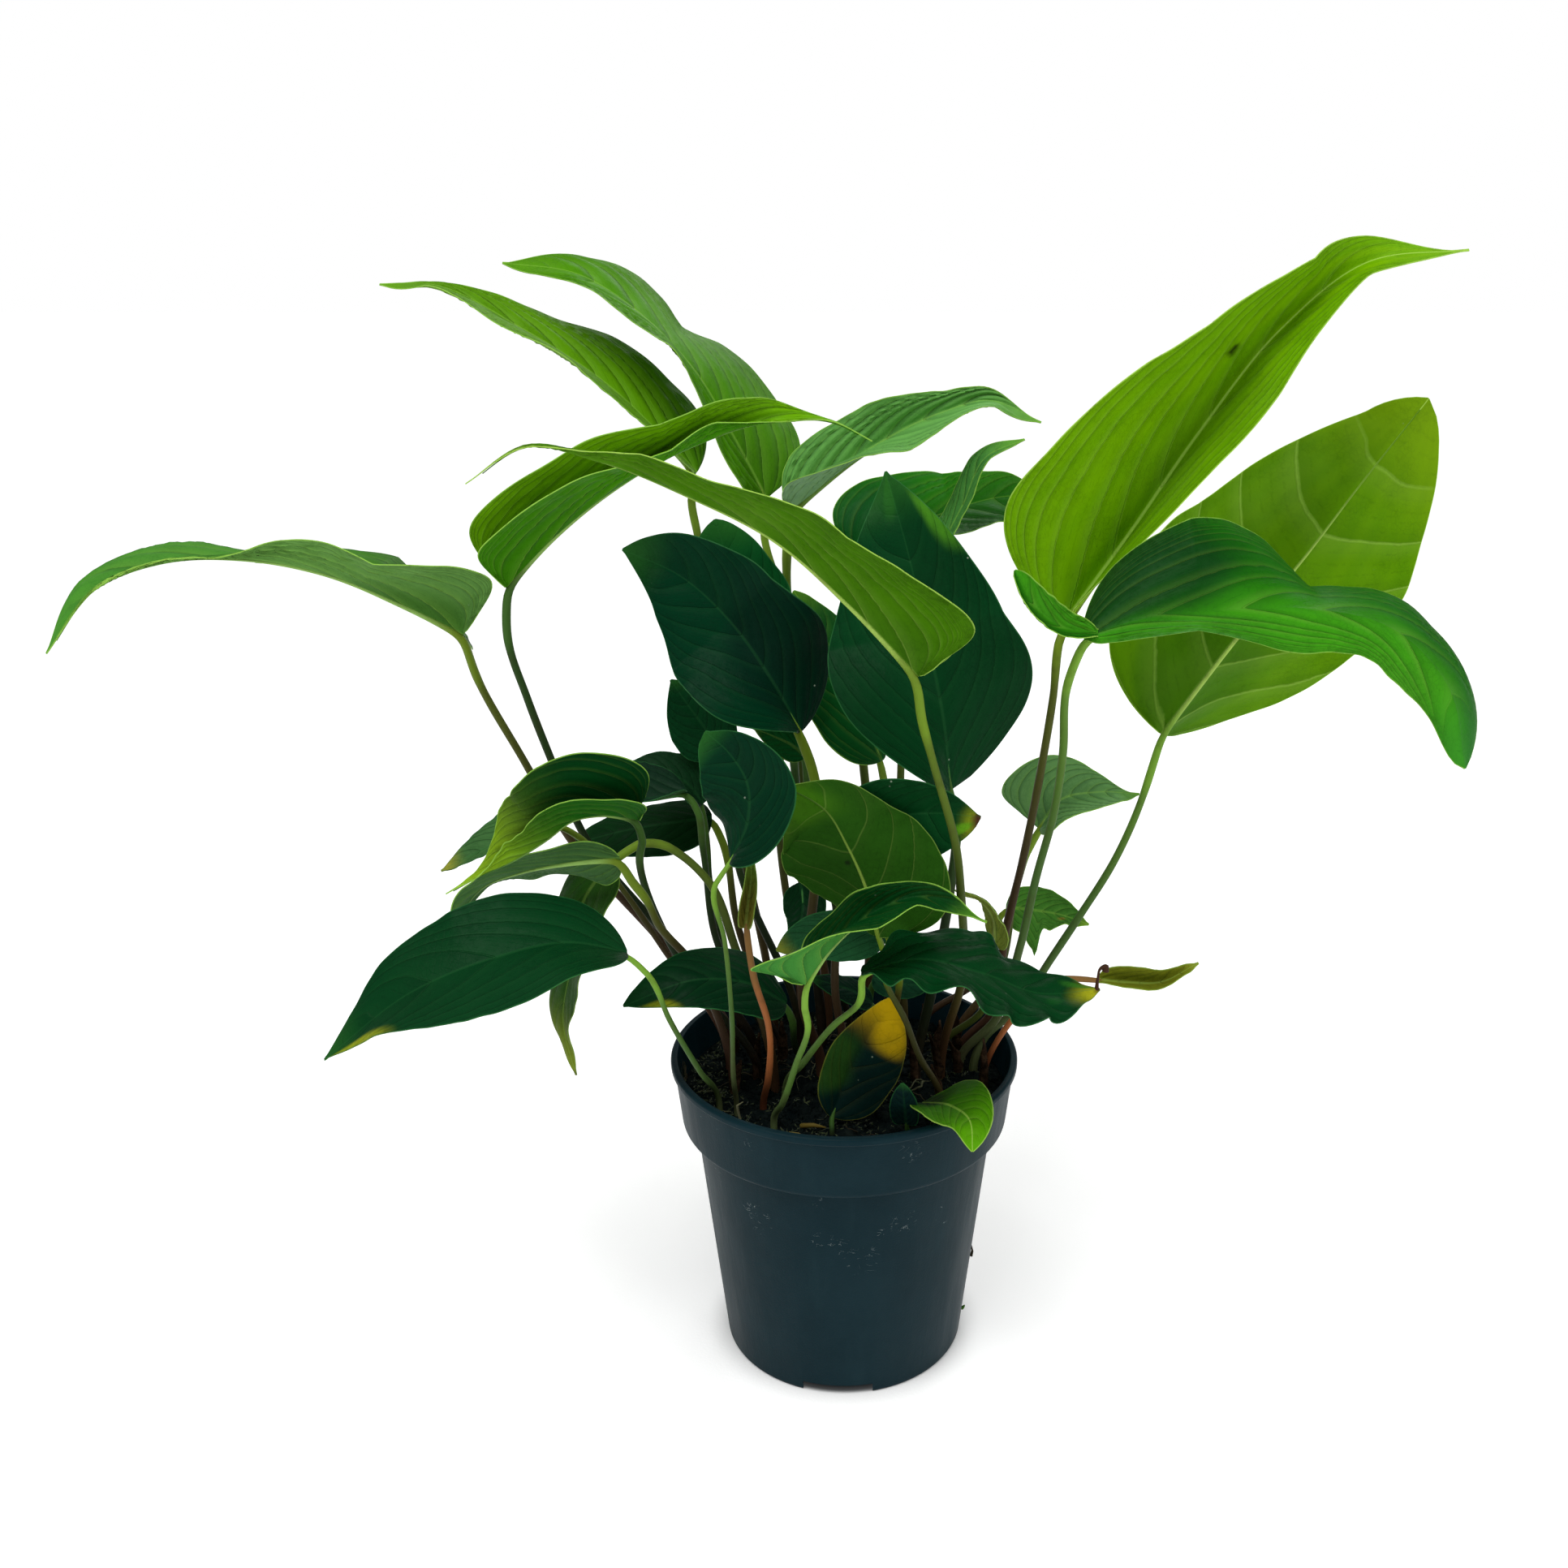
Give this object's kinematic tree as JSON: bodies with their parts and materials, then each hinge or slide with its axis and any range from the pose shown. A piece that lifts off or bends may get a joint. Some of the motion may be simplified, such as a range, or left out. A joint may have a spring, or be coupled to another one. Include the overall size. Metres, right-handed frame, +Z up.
{
  "type": "potted anubias hastifolia",
  "caption": "Broad-leaved aquarium plant with arrow-shaped, folded and waved leaves on long stalks, growing in a small round nursery pot of dark plastic.",
  "frame": {"origin": "centre of the pot's flat base, on the surface that it stands on", "axes": "+Z up along the pot's axis; -Y towards the viewer of the picture; +X to that viewer's right"},
  "size_m": [0.4428, 0.2032, 0.3763],
  "materials": {
    "pot": "satin",
    "soil": "matte",
    "leaf_dark": "satin",
    "leaf_green": "satin",
    "leaf_lime": "satin",
    "leaf_olive": "satin",
    "leaf_yellow": "satin"
  },
  "bodies": {
    "root": {"pot": "pot", "soil": "soil", "leaf_far_left": "leaf_green", "leaf_left_cupped": "leaf_green", "leaf_upper_left_low": "leaf_green", "leaf_upper_left_high": "leaf_green", "leaf_top_middle": "leaf_green", "leaf_bright_front": "leaf_lime", "leaf_tall_right": "leaf_lime", "leaf_right_lime": "leaf_lime", "leaf_right_domed": "leaf_green", "leaf_dark_left": "leaf_dark", "leaf_dark_right": "leaf_dark", "leaf_dark_behind": "leaf_dark", "leaf_back_right": "leaf_green", "leaf_back_sickle": "leaf_green", "leaf_small_right": "leaf_green", "leaf_brown_tip": "leaf_dark", "leaf_olive_front": "leaf_olive", "leaf_blue_front": "leaf_dark", "leaf_twisted_left": "leaf_green", "leaf_cup_left": "leaf_dark", "leaf_glossy_striped": "leaf_dark", "leaf_left_behind": "leaf_dark", "leaf_arching_narrow": "leaf_green", "leaf_big_low_left": "leaf_dark", "leaf_hanging": "leaf_olive", "leaf_low_middle": "leaf_dark", "leaf_small_front": "leaf_green", "leaf_wavy_front": "leaf_dark", "leaf_torn_back": "leaf_green", "leaf_thin_rolled": "leaf_olive", "leaf_behind_left": "leaf_dark", "leaf_green_behind": "leaf_green", "leaf_pale_rolled": "leaf_olive", "leaf_yellow_edge": "leaf_dark", "leaf_hanging_middle": "leaf_dark", "leaf_olive_small": "leaf_olive", "leaf_dark_low_left": "leaf_dark", "leaf_low_pot_left": "leaf_dark", "leaf_low_pot_right": "leaf_dark", "leaf_yellow_in_pot": "leaf_yellow", "leaf_over_rim": "leaf_lime", "leaf_young": "leaf_olive"}
  },
  "joints": []
}
